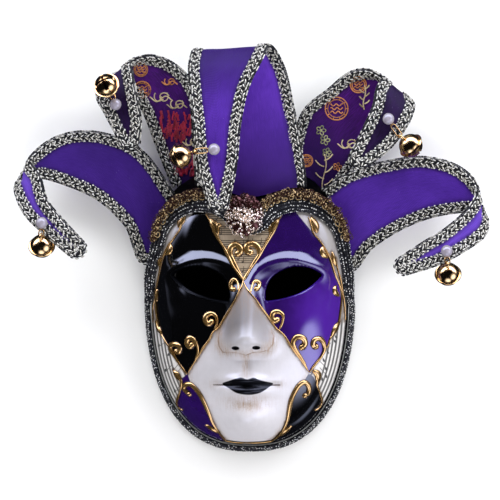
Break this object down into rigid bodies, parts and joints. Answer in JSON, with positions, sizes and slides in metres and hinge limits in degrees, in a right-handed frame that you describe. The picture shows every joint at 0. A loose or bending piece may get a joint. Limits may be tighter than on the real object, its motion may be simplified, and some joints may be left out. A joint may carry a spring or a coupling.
{
  "type": "carnival jester mask",
  "caption": "Full-face carnival jester mask: lacquered harlequin face with gold relief under curled braid-edged cloth horns with pearls and jingle bells.",
  "frame": {"origin": "on the resting plane, under the middle of the whole mask's box", "axes": "+Z the way the face looks, up from the rim; +Y from the chin to the crown; +X to the wearer's left, right in a view of the face"},
  "size_m": [0.3894, 0.3362, 0.0887],
  "materials": {
    "lacquer": "glossy lacquer, painted in white, black and purple fields",
    "gold_paint": "raised gold paint with dark antiquing",
    "dark_braid": "dark metallic braid",
    "silver_braid": "silver and black woven braid",
    "gold_lace": "antique gold metallic lace",
    "satin": "purple satin over stiff card",
    "brocade": "deep purple brocade with gold thread",
    "brass": "polished gold-coloured brass",
    "pearl": "pearl lustre"
  },
  "bodies": {
    "root": {"face_shell": "lacquer", "gold_relief": "gold_paint", "rim_braid": "dark_braid", "gold_lace": "gold_lace", "brow_brooch": "brass", "horn_left_side": "satin", "braid_left_side": "silver_braid", "pearl_left_side": "pearl", "link_left_side": "brass", "bell_left_side": "brass", "horn_left_back": "brocade", "braid_left_back": "silver_braid", "pearl_left_back": "pearl", "link_left_back": "brass", "bell_left_back": "brass", "horn_centre": "satin", "braid_centre": "silver_braid", "pearl_centre": "pearl", "link_centre": "brass", "bell_centre": "brass", "horn_right_back": "brocade", "braid_right_back": "silver_braid", "pearl_right_back": "pearl", "link_right_back": "brass", "bell_right_back": "brass", "horn_right_side": "satin", "braid_right_side": "silver_braid", "pearl_right_side": "pearl", "link_right_side": "brass", "bell_right_side": "brass"}
  },
  "joints": []
}
